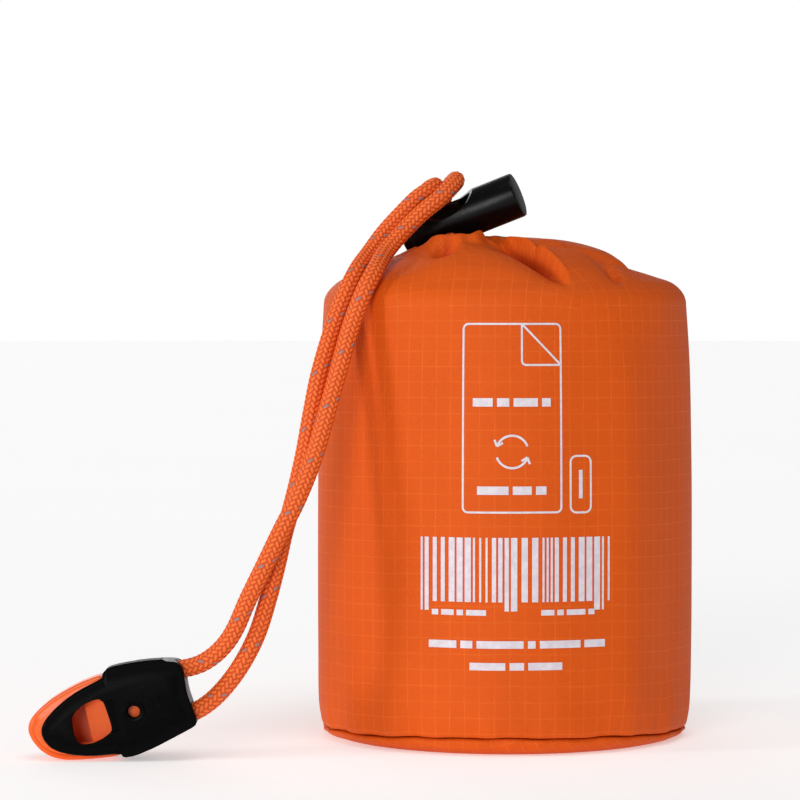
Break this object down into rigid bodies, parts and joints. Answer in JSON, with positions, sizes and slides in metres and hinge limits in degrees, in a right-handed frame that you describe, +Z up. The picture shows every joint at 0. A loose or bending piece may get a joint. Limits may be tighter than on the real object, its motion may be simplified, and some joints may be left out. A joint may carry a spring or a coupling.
{
  "type": "emergency sleeping bag packed in a drawstring sack with cord lock and whistle",
  "caption": "Orange ripstop drawstring sack, filled with a folded foil sleeping bag, with a black barrel cord lock and a whistle on its two cord ends",
  "frame": {"origin": "middle of the sack's flat base, on the surface that it stands on", "axes": "+Z up along the sack, -Y towards the printed front, +X to the right of the front, away from the whistle"},
  "size_m": [0.1205, 0.0757, 0.1052],
  "materials": {
    "sack_cloth": "thin orange ripstop with a light grid, satin",
    "drawcord": "round braid with a grey reflective tracer",
    "lock_plastic": "fine grain, soft highlights",
    "grip_plastic": "fine grain",
    "whistle_plastic": "smooth, semi-gloss"
  },
  "bodies": {
    "sack": {"sack_wall": "sack_cloth", "sack_base": "sack_cloth", "lock_barrel": "lock_plastic", "cord_front": "drawcord", "cord_back": "drawcord", "whistle_body": "whistle_plastic", "whistle_sleeve": "grip_plastic"},
    "button": {"lock_button": "lock_plastic"}
  },
  "joints": [
    {"name": "button_press", "type": "slide", "parent": "sack", "child": "button", "axis": [0.912, -0.202, 0.357], "range_m": [0, 0.0015], "stiffness_N_per_m": 300}
  ]
}
